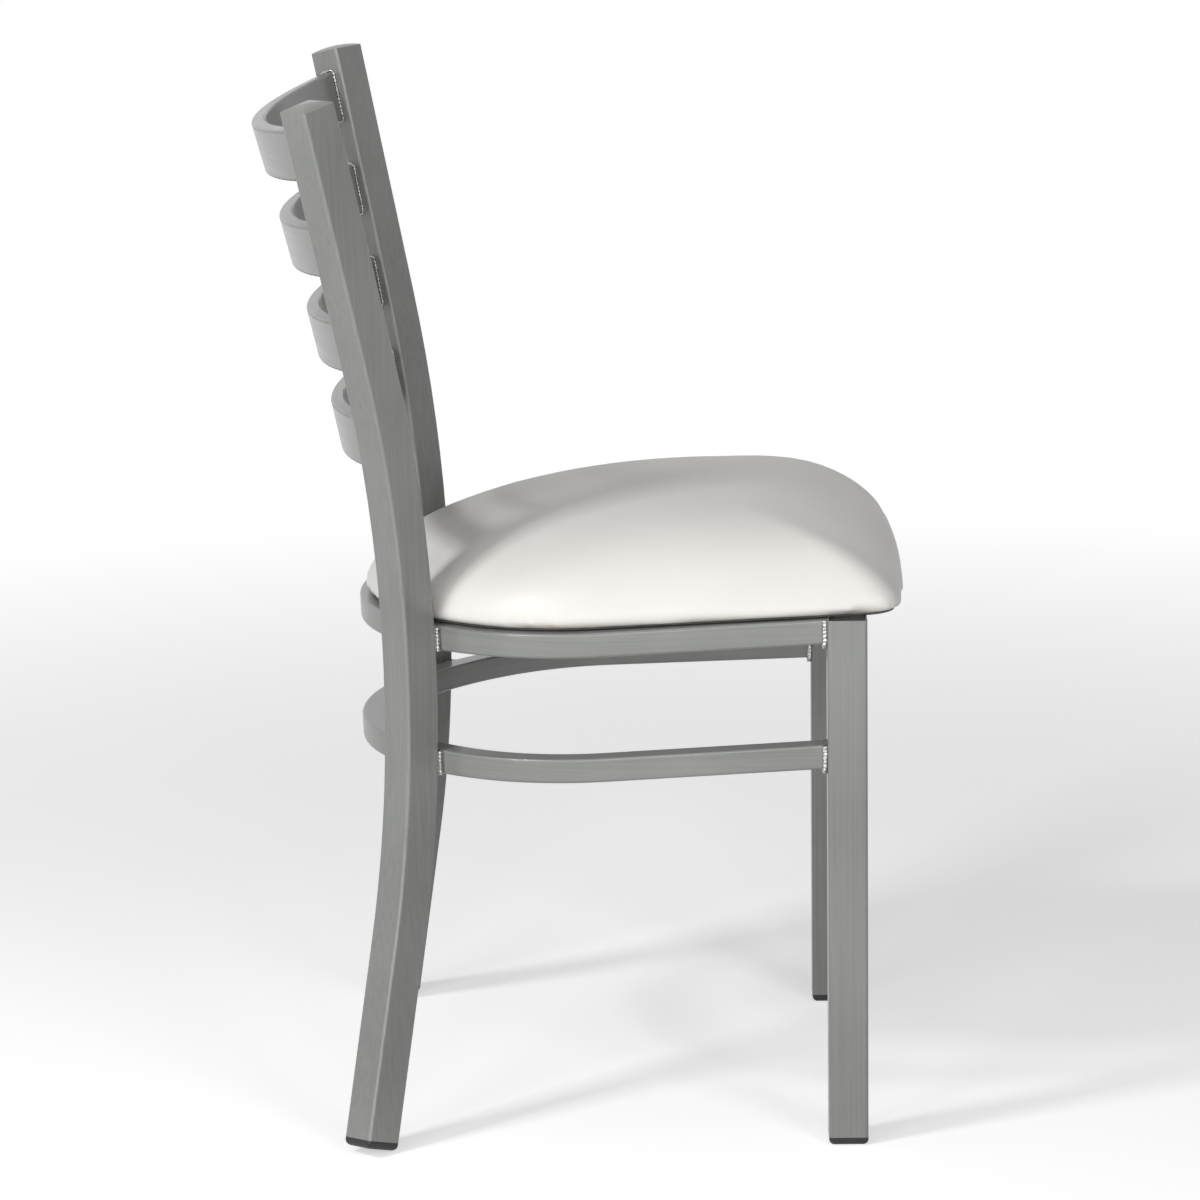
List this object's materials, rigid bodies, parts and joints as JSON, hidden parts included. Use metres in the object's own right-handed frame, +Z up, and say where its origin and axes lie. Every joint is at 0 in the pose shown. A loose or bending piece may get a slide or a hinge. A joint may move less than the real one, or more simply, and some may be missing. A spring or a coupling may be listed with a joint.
{
  "type": "ladderback chair",
  "caption": "Ladderback dining chair: welded square-tube frame, curved horizontal back slats, two horseshoe rings and a thick padded seat.",
  "frame": {"origin": "on the floor, under the middle of the chair's overall box", "axes": "+Z up, the sitter faces -Y, +X is the sitter's left"},
  "size_m": [0.502, 0.53, 0.849],
  "materials": {
    "painted_frame": "satin grey powder coat on welded steel tube",
    "weld_bead": "satin grey powder coat over weld beads",
    "white_vinyl": "warm white upholstery vinyl, satin",
    "seat_foam": "open cell upholstery foam",
    "plywood": "raw plywood",
    "dust_cloth": "black non-woven cloth",
    "black_glide": "moulded black plastic",
    "zinc_steel": "bright zinc plated steel"
  },
  "bodies": {
    "root": {"dust_cover": "dust_cloth", "front_leg_left": "painted_frame", "front_leg_right": "painted_frame", "front_rail": "painted_frame", "front_rail_welds": "weld_bead", "glide_front_left": "black_glide", "glide_front_right": "black_glide", "glide_rear_left": "black_glide", "glide_rear_right": "black_glide", "lower_ring": "painted_frame", "lower_ring_leg_welds": "weld_bead", "lower_ring_post_welds": "weld_bead", "post_cap_left": "painted_frame", "post_cap_right": "painted_frame", "post_left": "painted_frame", "post_right": "painted_frame", "seat_board": "plywood", "seat_cover": "white_vinyl", "seat_foam": "seat_foam", "seat_ring": "painted_frame", "seat_ring_leg_welds": "weld_bead", "seat_ring_post_welds": "weld_bead", "seat_screws": "zinc_steel", "seat_tab_front_left": "painted_frame", "seat_tab_front_right": "painted_frame", "seat_tab_side_left": "painted_frame", "seat_tab_side_right": "painted_frame", "seat_washers": "zinc_steel", "slat_1": "painted_frame", "slat_1_welds": "weld_bead", "slat_2": "painted_frame", "slat_2_welds": "weld_bead", "slat_3": "painted_frame", "slat_3_welds": "weld_bead", "slat_4": "painted_frame", "slat_4_welds": "weld_bead", "tee_nuts": "zinc_steel"}
  },
  "joints": []
}
